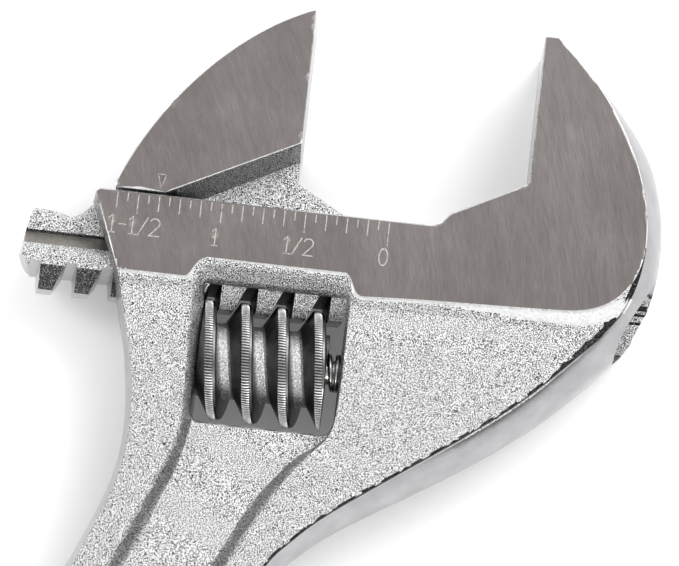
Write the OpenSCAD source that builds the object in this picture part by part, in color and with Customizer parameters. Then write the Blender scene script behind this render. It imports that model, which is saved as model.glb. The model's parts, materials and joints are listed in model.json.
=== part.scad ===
// Adjustable wrench, 12 inch class.
// Frame: the wrench lies flat. Origin at the centre of its bounding box, on the surface it lies on.
// +X runs along the handle towards the head, +Z is up through the flat head.
// Shapes are drawn in the head frame: x = 0 at the fixed jaw's face, +x is the way the movable jaw
// closes, y = 0 is the edge that the movable jaw slides along, +y points out of the mouth, and
// z = 0 is the mid plane. place() turns and moves them into the part's frame.

/* [Head] */
// Thickness over the two ground faces
head_t = 19; // [18.6:0.2:20]
// Height of the jaw tips above the sliding edge
jaw_h = 30.8; // [30:0.2:32]
// Distance from the fixed jaw's face to the left end of the sliding edge
edge_l = 65; // [64:0.5:66]

/* [Jaw travel] */
// Mouth opening in the stored position, 1-3/8 inch
opening = 34.925; // [33:0.025:35.5]

/* [Rail] */
// Radius of the round rail under the movable jaw
rail_r = 6.4; // [6:0.1:6.5]
// Running gap between the rail and its channel
rail_gap = 0.2; // [0.15:0.05:0.3]
// Depth of the rail's axis below the sliding edge
rail_y = 10; // [9.8:0.1:10.2]
// Thickness of the web that joins the rail to the jaw
web_t = 6.6; // [6:0.1:6.8]

/* [Worm] */
// Axial pitch of the single-start worm and of the rack
pitch = 5.55; // [5.5:0.01:5.6]
// Outside radius of the worm
worm_r = 9.1; // [9:0.05:9.2]
// Root radius of the worm
worm_root_r = 5.7; // [5.5:0.05:5.8]
// Length of the worm
worm_l = 19.4; // [19.2:0.1:19.6]
// Depth of the worm's axis below the sliding edge
worm_y = 23; // [22.9:0.1:23.2]
// Radius of the pin that the worm turns on
pin_r = 2; // [1.8:0.05:2.05]

/* [Handle] */
// Angle between the handle and the jaw faces, degrees
handle_angle = 25; // [23:0.5:26]
// Overall length from the jaw tip to the end of the handle, along the handle
overall_l = 310; // [300:1:320]
// Radius of the hanging hole
hang_r = 8; // [7:0.25:8.5]

/* [Hidden] */
half_t = head_t / 2;
inch = 25.4;

// Flanks of the buttress thread: the steep one carries the load
steep = tan(3);
slant = tan(27);
crest_w = 1.9;
mesh_gap = 0.15;
// Where the worm starts, and where one crest lies when it points at the rail
worm_x = -46.8;
crest_x = -40.8;
helix = atan(pitch / (2 * PI * (worm_r + worm_root_r) / 2));

// Rail: its ends, and its rack teeth, whose tips lie on its underside
rail_left = -76;
rail_right = -20.5;
tip_y = -rail_y - rail_r;
root_y = tip_y + 4.2;

// Lower end of the movable jaw's plate, just clear of the sliding edge
heel_y = 0.5;

// Scale: distance from the jaw's face to its pointer, and the depth of the marks
pointer_back = 20.3;
mark_deep = 0.12;

// The opening in the body that holds the worm
window = [-47, -33.1, -25.9, -12.2];
window_corner = 2;
pin_end_x = -19;
pin_head_x = -57;
pin_head_l = 6.5;
pin_head_r = 3;
spring_seat_l = 5.2;
spring_seat_r = 3.25;
spring_wire_r = 0.42;
spring_coil_r = 2.6;
spring_turns = 4.5;
fit_gap = 0.03;
run_gap = 0.05;

// The handle's axis crosses the sliding edge here and runs down and to the left
axis_x = -22;
end_r = 16.5;
tip = [2.1, jaw_h];
tip_s = (tip[0] - axis_x) * sin(handle_angle) + tip[1] * cos(handle_angle);
end_s = tip_s - overall_l;
hang_s = end_s + end_r + 1;
mid_s = (tip_s + end_s) / 2;
mid_t = 3;

// Half thicknesses: handle, forged head, recessed panel and the swollen middle of the sides
handle_h = 6.6;
forged_h = 8.8;
panel_h = 5;
swell_h = 4.5;
swell_right = 3.4;
swell_left = 1;

/* ---- small functions ---- */

function lerp(a, b, t) = a + (b - a) * t;
function bez(a, b, c, d, n = 8) = [for (i = [0:n - 1]) let (t = i / n, u = 1 - t)
    u * u * u * a + 3 * u * u * t * b + 3 * u * t * t * c + t * t * t * d];
function arc(c, r, a0, a1, n = 5) = [for (i = [0:n]) let (a = lerp(a0, a1, i / n)) c + r * [cos(a), sin(a)]];

// A point in handle coordinates: s along the axis towards the head, t to the left of it
function at(s, t) = [
    axis_x + s * sin(handle_angle) - t * cos(handle_angle),
    s * cos(handle_angle) + t * sin(handle_angle)];

// Turns a shape drawn along Z into one along +X, with its X towards +Y and its Y towards +Z
module along_x(x, y = 0) {
    translate([x, y, 0]) rotate([90, 0, 90]) children();
}

module rod(x0, x1, y, r, fn = 48) {
    along_x(x0, y) cylinder(h = x1 - x0, r = r, $fn = fn);
}

/* ---- outlines, head frame ---- */

// Gripping side and sliding edge of the body, from the jaw tip to the left end
function mouth_side() = [[0, jaw_h], [0, 8.6], [-0.8, 7.5], [-11.2, 2.1], [-12.3, 0.8], [-14.5, 0],
    [-edge_l + 0.4, 0], [-edge_l, -0.6]];

// The ground face, anticlockwise
function ground_face() = concat(
    mouth_side(),
    [[-60.2, -12], [-50.2, -12]],
    bez([-49.5, -11.8], [-48.6, -11.2], [-48.6, -9.2], [-47, -8.8], 4),
    [[-47, -8.8], [-26, -8.8]],
    bez([-25.4, -9.2], [-24.8, -10], [-24.8, -12.1], [-23, -12.1], 4),
    [[-23, -12.1], [12.5, -10.8]],
    bez([14.6, -9.8], [17.2, -7.4], [18.5, -3.6], [18.6, 1], 6),
    bez([18.6, 1], [18.4, 12.2], [11.2, 23.4], tip, 12),
    [tip]);

// The forged sides, anticlockwise from the left end round the handle to the outside of the fixed
// jaw, moved out by l on the left and by r on the right
function sides(l, r) = concat(
    bez([-60.2 - l, -12], [-57 - l, -21], at(-36, 16 + l), at(-58, 13 + l), 10),
    bez(at(-58, 13 + l), at(-105, 9.5 + l), at(end_s + 75, 13), at(end_s + end_r, end_r), 10),
    arc(at(end_s + end_r, 0), end_r, 180 - handle_angle, 360 - handle_angle, 16),
    bez(at(end_s + end_r, -end_r), at(end_s + 75, -13), at(-105, -9.5 - r), at(-58, -12.4 - r), 10),
    bez(at(-58, -12.4 - r), at(-38, -15 - r), [-4 + r, -31.6], [12.7 + r, -14], 12),
    bez([12.7 + r, -14], [16.6 + r, -9.8], [18.6 + r, -5], [18.6 + r, 1], 5));

// Seen from the side: thick at the head, thinner along the handle
module side_profile() {
    half = [[end_s - 1, handle_h - 1.2], [end_s + 3, handle_h], [-105, handle_h], [-62, handle_h + 0.9],
        [-30, forged_h], [60, forged_h]];
    translate([axis_x, 0, 0]) rotate([90, 0, 90 - handle_angle]) translate([0, 0, -80]) linear_extrude(160)
        polygon(concat(half, [for (i = [len(half) - 1:-1:0]) [half[i][0], -half[i][1]]]));
}

module slab(h) {
    translate([0, 0, -h]) linear_extrude(2 * h) children();
}

/* ---- cuts in the body ---- */

// Cuts an outline into both faces, down to the level z above and below the mid plane
module both_faces(z) {
    for (low = [z, -z - 8]) translate([0, 0, low]) linear_extrude(8) children();
}

// Recessed panel between the handle's two rims, from the window to the hanging hole
module panel() {
    panel_end = hang_s + hang_r + 10;
    end_w = 9;
    outline = concat(
        bez(at(-27, 15), at(-41, 8.2), at(-48, 7.2), at(-64, 7.2), 8),
        [at(-64, 7.2), at(-140, 6.4)],
        arc(at(panel_end + end_w, 0), end_w, 180 - handle_angle, 360 - handle_angle, 12),
        [at(-140, -6.4)],
        bez(at(-64, -6.8), at(-48, -6.8), at(-38, -9), at(-27, -14), 8),
        [at(-27, -14)]);
    both_faces(panel_h) polygon(outline);
}

// Shallow step round the worm's window
module window_pocket() {
    outline = [[-48.4, -31], [-48.4, -11.2], [-47, -9.9], [-26, -9.9], [-24.8, -11.2], [-24.8, -31]];
    both_faces(7) polygon(outline);
}

module window_shape() {
    w = window;
    r = window_corner;
    translate([0, 0, -15]) linear_extrude(30) polygon(concat(
        arc([w[0] + r, w[1] + r], r, 180, 270), arc([w[2] - r, w[1] + r], r, 270, 360),
        [[w[2], w[3]], [w[0], w[3]]]));
}

// Channel for the rail, and the slot above it for the web
module slide_channel() {
    rod(-90, 40, -rail_y, rail_r + rail_gap, 64);
    // the slot is cut into the fixed jaw's foot, where the web's toe goes when the jaws are closed
    slot_half = web_t / 2 + rail_gap;
    toe_top = 8.8;
    toe_x = 0.15;
    translate([0, 0, -slot_half]) linear_extrude(2 * slot_half)
        polygon([[-80, -rail_y], [-80, 12], [-1, 12], [-1, toe_top], [toe_x, toe_top], [toe_x, 5.75],
            [11, 0.3], [11, -rail_y]]);
    // countersunk mouth on the far side
    bore_r = rail_r + rail_gap;
    mouth_w = 2;
    along_x(8, -rail_y) cylinder(h = 15, r1 = bore_r, r2 = bore_r + mouth_w, $fn = 64);
}

module pin_hole() {
    rod(-66, pin_head_x + pin_head_l, -worm_y, pin_head_r + fit_gap);
    rod(-66, pin_end_x, -worm_y, pin_r + fit_gap);
}

// Sixteenth-inch scale that starts where the jaw pointer stands when the jaws are closed
module scale_marks() {
    tick_w = 0.24;
    for (k = [0:26]) {
        long = k % 8 == 0 ? 3.4 : k % 2 == 0 ? 2.7 : 1.7;
        translate([-pointer_back - k * inch / 16 - tick_w / 2, -0.3 - long, half_t - mark_deep])
            cube([tick_w, long, 1]);
    }
}

module body() {
    color([0.72, 0.72, 0.71]) difference() {
        union() {
            slab(half_t) polygon(ground_face());
            // the forging under the ground faces, and the swollen middle of its sides
            intersection() {
                slab(half_t) polygon(concat(sides(0, 0), [[14, 2], [-55, -5]]));
                side_profile();
            }
            slab(swell_h) polygon(concat(sides(swell_left, swell_right), [[18, 10], [12, 2], [-55, -6]]));
        }
        panel();
        window_pocket();
        window_shape();
        slide_channel();
        pin_hole();
        scale_marks();
        translate([at(hang_s, 0)[0], at(hang_s, 0)[1], -15]) cylinder(h = 30, r = hang_r, $fn = 64);
    }
}

/* ---- movable jaw ---- */

// Drawn at the stored opening, with its face at x = -opening
function jaw_face_outline() = concat(
    [[-opening, jaw_h], [-opening - 1.4, jaw_h]],
    bez([-opening - 1.4, jaw_h], [-48, 24.6], [-57.6, 13], [-61.4, 1.6], 14),
    [[-61.4, 1.6], [-61.6, heel_y], [-54, heel_y], [-opening, 10]]);

module web() {
    translate([0, 0, -web_t / 2]) linear_extrude(web_t)
        polygon([[-opening, 10.5], [-50, 10.5], [-58, 4], [-60, 0], [-66, -rail_y + 5.6], [-66, -rail_y],
            [-24.5, -rail_y], [-24.5, -1], [-26, 0.2], [-opening, 5]]);
}

module rail() {
    difference() {
        rod(rail_left, rail_right, -rail_y, rail_r, 64);
        // the outer end has no tooth
        translate([rail_left - 1, root_y - 8, -10]) cube([crest_x - 6 * pitch - rail_left + 1, 8, 20]);
        for (k = [-6:3]) tooth_gap(crest_x + k * pitch);
    }
}

// One gap of the rack, for the crest that passes through it at x
module tooth_gap(x) {
    function side(y, s) = (crest_w / 2 + mesh_gap) + (worm_r - (y + worm_y)) * s;
    low = tip_y - 1;
    translate([x, 0, 0]) multmatrix([[1, 0, tan(helix), 0], [0, 1, 0, 0], [0, 0, 1, 0]])
        translate([0, 0, -8]) linear_extrude(16)
        polygon([[-side(root_y, slant), root_y], [-side(low, slant), low],
            [side(low, steep), low], [side(root_y, steep), root_y]]);
}

// Pointer that reads against the scale
module pointer_mark() {
    translate([-opening - pointer_back, heel_y + 0.3, half_t - mark_deep]) linear_extrude(1)
        difference() {
            polygon([[0, 0], [0.75, 2.3], [-0.75, 2.3]]);
            polygon([[0, 0.8], [0.45, 2.1], [-0.45, 2.1]]);
        }
}

module movable_jaw() {
    color([0.66, 0.65, 0.64]) difference() {
        union() {
            translate([0, 0, -half_t]) linear_extrude(head_t) polygon(jaw_face_outline());
            web();
            rail();
        }
        pointer_mark();
    }
}

/* ---- worm, pin and spring ---- */

// Radius of the thread at an axial distance a from the middle of a crest
function thread_r(a) = max(worm_root_r, min(worm_r, a > 0 ?
    worm_r - (a - crest_w / 2) / steep : worm_r + (a + crest_w / 2) / slant));
steep_w = (worm_r - worm_root_r) * steep;
slant_w = (worm_r - worm_root_r) * slant;
thread_stops = concat(
    [for (i = [0:7]) lerp(-crest_w / 2, crest_w / 2, i / 7)],
    [for (i = [0:6]) lerp(crest_w / 2 + steep_w, pitch - crest_w / 2 - slant_w, i / 6)],
    [for (i = [1:5]) lerp(pitch - crest_w / 2 - slant_w, pitch - crest_w / 2, i / 6)]);

module worm() {
    color([0.6, 0.6, 0.6]) difference() {
        intersection() {
            along_x(worm_x, -worm_y) rotate(360 * (worm_x - crest_x) / pitch)
                linear_extrude(height = worm_l, twist = -360 * worm_l / pitch, slices = 84, convexity = 6)
                polygon([for (i = [len(thread_stops) - 1:-1:0]) let (
                    a = thread_stops[i],
                    r = thread_r(a > pitch / 2 ? a - pitch : a),
                    q = -360 * a / pitch)
                    r * [cos(q), sin(q)]]);
            rod(worm_x, worm_x + worm_l, -worm_y, worm_r + 1);
        }
        rod(worm_x - 1, worm_x + worm_l + 1, -worm_y, pin_r + run_gap);
        rod(worm_x + worm_l - spring_seat_l, worm_x + worm_l + 1, -worm_y, spring_seat_r);
    }
}

module worm_pin() {
    color([0.75, 0.75, 0.75]) difference() {
        union() {
            rod(pin_head_x, pin_end_x - 0.3, -worm_y, pin_r);
            rod(pin_head_x, pin_head_x + pin_head_l - 0.2, -worm_y, pin_head_r);
        }
        translate([pin_head_x - 1, -worm_y - 5, -0.5]) cube([2, 10, 1]);
    }
}

// Closed tube through rings that all hold the same number of points
module loft(rings) {
    n = len(rings[0]);
    m = len(rings);
    polyhedron(
        points = [for (r = rings) for (p = r) p],
        faces = concat(
            [[for (i = [n - 1:-1:0]) i]],
            [[for (i = [0:n - 1]) (m - 1) * n + i]],
            [for (j = [0:m - 2]) for (i = [0:n - 1]) let (k = (i + 1) % n, a = j * n, b = (j + 1) * n)
                each [[a + i, a + k, b + k], [a + i, b + k, b + i]]]),
        convexity = 6);
}

module worm_spring() {
    x0 = worm_x + worm_l - spring_seat_l + spring_wire_r + run_gap;
    x1 = window[2] - spring_wire_r - run_gap;
    steps = 16 * spring_turns;
    color([0.8, 0.8, 0.78]) along_x(x0, -worm_y) loft([for (i = [0:steps]) let (
        a = 360 * i / 16,
        // the end coils lie flat
        f = max(0, min(1, (i - 12) / (steps - 24))),
        z = (x1 - x0) * f)
        [for (j = [0:7]) let (b = 45 * j, r = spring_coil_r + spring_wire_r * cos(b))
            [r * cos(a), r * sin(a), z + spring_wire_r * sin(b)]]]);
}

module place() {
    translate([-mid_s, -mid_t, half_t]) rotate([0, 0, handle_angle - 90])
        translate([-axis_x, 0, 0]) children();
}

place() body();
place() movable_jaw();
place() worm();
place() worm_pin();
place() worm_spring();
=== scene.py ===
"""Adjustable wrench. Everything is drawn in the head frame, in millimetres, and carried into the
row frame by HEAD: x = 0 at the fixed jaw's face, +x is the way the movable jaw closes, y = 0 is the
edge that it slides along, +y points out of the mouth, and z = 0 is the mid plane."""
import json
import math

import bmesh
import bpy
import numpy as np
from mathutils import Matrix, Vector
from mathutils.geometry import delaunay_2d_cdt

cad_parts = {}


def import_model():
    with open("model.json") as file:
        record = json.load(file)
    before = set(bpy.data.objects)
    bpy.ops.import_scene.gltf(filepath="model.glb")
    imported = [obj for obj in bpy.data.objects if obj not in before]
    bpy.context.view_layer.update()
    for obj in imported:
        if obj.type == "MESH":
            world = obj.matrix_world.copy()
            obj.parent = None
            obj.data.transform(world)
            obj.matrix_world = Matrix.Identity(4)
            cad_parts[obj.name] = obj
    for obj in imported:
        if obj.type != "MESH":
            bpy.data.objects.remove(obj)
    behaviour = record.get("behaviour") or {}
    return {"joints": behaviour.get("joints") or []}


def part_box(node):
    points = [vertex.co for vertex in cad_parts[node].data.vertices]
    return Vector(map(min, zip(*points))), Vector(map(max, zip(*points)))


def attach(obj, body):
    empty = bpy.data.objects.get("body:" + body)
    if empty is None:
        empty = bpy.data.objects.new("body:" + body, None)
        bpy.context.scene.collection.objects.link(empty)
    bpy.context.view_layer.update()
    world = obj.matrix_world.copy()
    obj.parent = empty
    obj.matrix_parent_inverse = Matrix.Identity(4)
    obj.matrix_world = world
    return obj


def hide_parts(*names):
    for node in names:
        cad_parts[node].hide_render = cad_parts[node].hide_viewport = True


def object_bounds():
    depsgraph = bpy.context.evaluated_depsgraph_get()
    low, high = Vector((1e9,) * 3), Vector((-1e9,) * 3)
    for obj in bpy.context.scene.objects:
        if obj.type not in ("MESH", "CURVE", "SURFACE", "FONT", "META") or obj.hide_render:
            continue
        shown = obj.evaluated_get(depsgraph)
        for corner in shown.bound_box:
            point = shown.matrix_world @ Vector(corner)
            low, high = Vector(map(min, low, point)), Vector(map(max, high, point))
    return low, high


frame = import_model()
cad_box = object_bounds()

MM = 0.001

# ---------------------------------------------------------------- driving dimensions, millimetres

HALF = (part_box("body")[1].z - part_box("body")[0].z) / 2 / MM   # half the thickness of the head
JAW_H = 30.8
GRIP_FOOT = 8.6
EDGE_LEFT = -65.0
INCH = 25.4
OPENING = 1.375 * INCH
POINTER_BACK = 20.3

RAIL_Y = -10.0
RAIL_R = 6.4
BORE_R = 6.6
WEB_HALF = 3.3
SLOT_HALF = 3.5

PITCH = 5.55
WORM_Y = -23.0
WORM_R = 9.1
WORM_ROOT_R = 5.7
WORM_X = -46.8
WORM_L = 19.4
CREST_X = -40.8
CREST_W = 1.9
STEEP = math.tan(math.radians(3))
SLANT = math.tan(math.radians(27))
MESH_GAP = 0.3

AXIS_X = -22.0
END_R = 16.5
HANG_R = 8.0

# ---------------------------------------------------------------- frames

worm_joint = next(j for j in frame["joints"] if j["name"] == "worm_spin")
closing = Vector(worm_joint["axis"]).normalized()
outward = Vector((0, 0, 1)).cross(closing)
worm_centre = Vector((-37.0, WORM_Y, 0.0))
head_origin = Vector(worm_joint["pos_m"]) - (worm_centre.x * closing + worm_centre.y * outward) * MM
HEAD = Matrix.Translation(head_origin) @ Matrix((
    (closing.x * MM, outward.x * MM, 0),
    (closing.y * MM, outward.y * MM, 0),
    (0, 0, MM))).to_4x4()
ANGLE = math.asin(closing.x)
SIN, COS = math.sin(ANGLE), math.cos(ANGLE)
END_S = (JAW_H * COS + (2.1 - AXIS_X) * SIN) - (cad_box[1].x - cad_box[0].x) / MM
HANG_S = END_S + END_R + 1


def at(s, t):
    """A point in handle coordinates: s along the handle's axis towards the head, t to the left of it."""
    return (AXIS_X + s * SIN - t * COS, s * COS + t * SIN)


def along(p):
    return (p[:, 0] - AXIS_X) * SIN + p[:, 1] * COS


# ---------------------------------------------------------------- outlines

def bez(a, b, c, d, n):
    a, b, c, d = (np.array(p, float) for p in (a, b, c, d))
    t = (np.arange(n) / n)[:, None]
    u = 1 - t
    return u**3 * a + 3 * u * u * t * b + 3 * u * t * t * c + t**3 * d


def arc(centre, r, a0, a1, n):
    a = np.radians(np.linspace(a0, a1, n + 1))
    return np.array(centre) + r * np.stack([np.cos(a), np.sin(a)], 1)


def line(*points):
    return np.array(points, float)


def resample(points, step, closed=True):
    """Adds points along the straight stretches, and keeps the corners."""
    ends = np.vstack([points, points[:1]]) if closed else points
    out = []
    for a, b in zip(ends[:-1], ends[1:]):
        n = max(1, int(round(np.linalg.norm(b - a) / step)))
        out += [a + (b - a) * i / n for i in range(n)]
    if not closed:
        out.append(ends[-1])
    return np.array(out)


def spline(points, n):
    """A smooth open curve through the points (Catmull-Rom)."""
    p = np.array(points, float)
    p = np.vstack([2 * p[0] - p[1], p, 2 * p[-1] - p[-2]])
    out = []
    for i in range(1, len(p) - 2):
        for t in np.arange(n) / n:
            a, b, c, d = p[i - 1:i + 3]
            out.append(0.5 * (2 * b + (c - a) * t + (2 * a - 5 * b + 4 * c - d) * t * t
                              + (3 * b - a - 3 * c + d) * t**3))
    out.append(p[-2])
    return np.array(out)


def distance(points, loop, closed=True):
    """Distance from each point to a polyline."""
    a = loop
    b = np.roll(loop, -1, 0)
    if not closed:
        a, b = a[:-1], b[:-1]
    best = np.full(len(points), 1e9)
    for p, q in zip(a, b):
        d = q - p
        t = np.clip(((points - p) @ d) / max(d @ d, 1e-12), 0, 1)
        best = np.minimum(best, np.linalg.norm(points - (p + t[:, None] * d), axis=1))
    return best


def inside(points, loop):
    x, y = points[:, 0], points[:, 1]
    result = np.zeros(len(points), bool)
    for (x0, y0), (x1, y1) in zip(loop, np.roll(loop, -1, 0)):
        crosses = (y0 > y) != (y1 > y)
        if y1 != y0:
            result ^= crosses & (x < (x1 - x0) * (y - y0) / (y1 - y0) + x0)
    return result


def smooth(t):
    t = np.clip(t, 0, 1)
    return t * t * (3 - 2 * t)


def normals(loop):
    """Outward normals of an anticlockwise loop."""
    t = np.roll(loop, -1, 0) - np.roll(loop, 1, 0)
    n = np.stack([t[:, 1], -t[:, 0]], 1)
    return n / np.maximum(np.linalg.norm(n, axis=1), 1e-9)[:, None]


# Sliding edge and gripping side of the body, from the jaw tip to the left end
MOUTH = np.vstack([
    line((0.25, JAW_H), (0, JAW_H - 0.25)),
    bez((0, GRIP_FOOT), (0, 8.0), (-0.3, 7.7), (-0.9, 7.4), 5),
    bez((-11.2, 2.1), (-12, 1.5), (-12.2, 0), (-14.5, 0), 6),
    line((-14.5, 0), (EDGE_LEFT + 0.6, 0), (EDGE_LEFT, -0.5))])
JAW_BACK = np.vstack([
    bez((18.6, 1), (18.4, 12.2), (11.2, 23.4), (2.1, JAW_H), 30),
    line((2.1, JAW_H))])

LEFT_SIDE = np.vstack([
    bez((EDGE_LEFT, -0.5), (-63.2, -5), (-61.5, -9), (-60.1, -13), 10),
    spline([(-60.1, -13), (-58.6, -19), (-57.2, -24.5), (-56.3, -30), (-56, -35), (-56.3, -40), (-57.5, -45),
            (-59.3, -50), at(-68, 12.3)], 6)[:-1]])
RIGHT_SIDE = np.vstack([
    spline([at(-68, -11.6), (-33.3, -54.3), (-29.6, -49.8), (-24.5, -45.1), (-14.4, -37.7), (-5.4, -31.2),
            (2.7, -24.7), (10.8, -16.6), (14, -12.9)], 6)[:-1],
    bez((14, -12.9), (17.3, -9), (18.6, -4.5), (18.6, 1), 12)])
SIDE_SWELL = 1.2
END_FLAT = END_R - SIDE_SWELL
HANDLE_SIDES = np.vstack([
    bez(at(-68, 12.3), at(-110, 10.3), at(END_S + 75, 12.4), at(END_S + END_R, END_FLAT), 60),
    arc(at(END_S + END_R, 0), END_FLAT, 180 - math.degrees(ANGLE), 360 - math.degrees(ANGLE), 48)[:-1],
    bez(at(END_S + END_R, -END_FLAT), at(END_S + 75, -12.4), at(-110, -10.3), at(-68, -11.6), 60)])
BODY = np.vstack([MOUTH[:-1], LEFT_SIDE, HANDLE_SIDES, RIGHT_SIDE, JAW_BACK])

# The ground face of the head
GROUND = np.vstack([
    MOUTH[:-1],
    bez((EDGE_LEFT, -0.5), (-63.2, -5), (-61.5, -9), (-60.3, -12), 10),
    line((-60.3, -12)),
    bez((-50.2, -12), (-49, -12), (-48.9, -9.2), (-47, -8.8), 8),
    line((-47, -8.8)),
    bez((-26, -8.8), (-24.6, -9.6), (-25, -12.1), (-23, -12.1), 8),
    line((-23, -12.1)),
    bez((-20, -11.9), (-10, -11.3), (0, -11.2), (8, -10.7), 12),
    bez((8, -10.7), (14.5, -10.2), (18.3, -6.2), (18.6, 1), 14),
    JAW_BACK])

# The worm's window, right through the head
WINDOW_RIGHT = -25.3
WINDOW = np.vstack([
    line((-47, -12.2)),
    arc((-45.6, -31.7), 1.4, 180, 270, 5),
    arc((-27.3, -31.1), 2, 270, 360, 5),
    line((WINDOW_RIGHT, -12.2))])

# The recess round the window and along the handle: upper and lower edges of its sloping wall
PANEL_END = HANG_S + HANG_R + 9
RECESS_TOP = np.vstack([
    line((-47, -8.8)),
    bez((-47, -8.8), (-48.9, -9.4), (-49.1, -11), (-49, -14), 6),
    spline([(-49, -14), (-48.6, -22), (-48.2, -30), (-48.4, -35), (-50, -40), (-52.2, -45), at(-59, 8.2),
            at(-72, 7.8)], 5)[:-1],
    bez(at(-72, 7.8), at(-110, 7), at(-150, 7.4), at(PANEL_END + 9, 9), 40),
    arc(at(PANEL_END + 9, 0), 9, 180 - math.degrees(ANGLE), 360 - math.degrees(ANGLE), 24)[:-1],
    bez(at(PANEL_END + 9, -9), at(-150, -7.4), at(-110, -7), at(-72, -7.6), 40),
    spline([at(-72, -7.6), at(-55, -8.0), (-34, -45), (-31, -40), (-28.7, -37), (-25.7, -33.2), (-24.9, -28),
            (-24.8, -14)], 5)[:-1],
    bez((-24.8, -14), (-24.8, -11), (-24.6, -9.4), (-26, -8.8), 6)])
RECESS_FLOOR = np.vstack([
    line((-46.6, -12.8)),
    spline([(-46.6, -14), (-46.6, -30), (-46.9, -34.5), (-48, -40), (-49.9, -45), at(-58, 5.8),
            at(-72, 5.4)], 5)[:-1],
    bez(at(-72, 5.4), at(-110, 4.7), at(-150, 5.1), at(PANEL_END + 9, 6.6), 40),
    arc(at(PANEL_END + 9, 0), 6.6, 180 - math.degrees(ANGLE), 360 - math.degrees(ANGLE), 24)[:-1],
    bez(at(PANEL_END + 9, -6.6), at(-150, -5.1), at(-110, -4.7), at(-72, -5.2), 40),
    spline([at(-72, -5.2), at(-56, -5.6), (-36.5, -45), (-33.0, -40), (-30.4, -37), (-27.0, -34.2),
            (-25.8, -31), (-25.7, -14)], 5)[:-1],
    line((-25.7, -12.8))])
HANG_HOLE = arc(at(HANG_S, 0), HANG_R, 0, 360, 64)[:-1]


# ---------------------------------------------------------------- scale marks

def thicken(path, w):
    """Outline of a stroke of width w along an open path."""
    p = np.array(path, float)
    d = np.diff(p, axis=0)
    d /= np.linalg.norm(d, axis=1)[:, None]
    n = np.stack([-d[:, 1], d[:, 0]], 1)
    m = np.vstack([n[:1], (n[:-1] + n[1:]) / np.maximum(1 + (n[:-1] * n[1:]).sum(1), 0.4)[:, None], n[-1:]])
    return np.vstack([p + m * w / 2, (p - m * w / 2)[::-1]])


def oval(cx, cy, rx, ry, a0, a1, n):
    a = np.radians(np.linspace(a0, a1, n + 1))
    return np.stack([cx + rx * np.cos(a), cy + ry * np.sin(a)], 1)


# Strokes of each sign in a cell one unit high, and the width of its cell
SIGNS = {
    "0": (0.62, [oval(0.26, 0.5, 0.24, 0.48, 90, 449, 20)]),
    "1": (0.52, [[(0.05, 0.78), (0.24, 0.97), (0.24, 0.03)], [(0.06, 0.03), (0.42, 0.03)]]),
    "2": (0.72, [np.vstack([oval(0.3, 0.72, 0.26, 0.25, 165, -35, 10), [(0.04, 0.04), (0.6, 0.04)]])]),
    "/": (0.6, [[(0.02, 0.0), (0.52, 1.0)]]),
    "-": (0.56, [[(0.06, 0.5), (0.46, 0.5)]])}


def label(text, x, y, height):
    """Strokes of a label whose top left corner is at x, y."""
    strokes = []
    for sign in text:
        width, paths = SIGNS[sign]
        strokes += [np.array(path) * height + (x, y - height) for path in paths]
        x += width * height
    return strokes


def scale_strokes():
    ticks = []
    for k in range(27):
        x = -POINTER_BACK - k * INCH / 16
        length = 3.9 if k == 0 else 3.3 if k % 8 == 0 else 2.7 if k % 2 == 0 else 1.6
        ticks.append(line((x, -0.35), (x, -length)))
    numbers = label("0", -21.4, -4.3, 2.7) + label("1/2", -36.0, -4.1, 2.75) \
        + label("1", -46.9, -4.1, 2.8) + label("1-1/2", -62.6, -3.7, 2.85)
    return [(s, 0.17) for s in ticks] + [(s, 0.2) for s in numbers]


MARK_DEPTH = 0.1


def carve(z, p, strokes):
    """Lowers the heights z of the points p that lie in a stroke."""
    for path, w in strokes:
        z -= MARK_DEPTH * (distance(p, path, closed=False) < w * 0.42)


def marked(c, flat, strokes):
    """Which of the face centres c are flat, on the upper side and in a stroke."""
    upper = flat & (c[:, 2] > 0)
    found = np.zeros(len(c), bool)
    for path, w in strokes:
        found[upper] |= distance(c[upper, :2], path, closed=False) < w * 0.5
    return found


# ---------------------------------------------------------------- height of the forging's surface

# Width of the painted highlight line along a ground face's edges
EDGE = 0.16
# The bright band below the ground face falls at this slope, and the skin then dips and recovers
BAND_SLOPE = 0.27
DIP = 0.15
DIP_WIDTH = 1.8

def forged(s):
    return np.interp(s, [END_S, -140, -105, -62, -45, -30], [6.5, 6.5, 6.6, 7.5, 8.2, 8.8])


def recess_floor(s):
    return np.interp(s, [END_S, -105, -60, -30], [4.7, 4.8, 5.1, 5.5])


def rounding(d, r):
    """How far a rounded edge of radius r has dropped at distance d from the edge."""
    k = np.clip(1 - d / r, 0, 1)
    return r * (1 - np.sqrt(np.maximum(1 - k * k, 0)))


def highlight_band_width(p):
    """Width of the band below the ground face, a real chamfer with a painted highlight, which widens to the
    right.
    """
    return 0.4 + 1.9 * smooth((p[:, 0] + 14) / 27)


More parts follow.
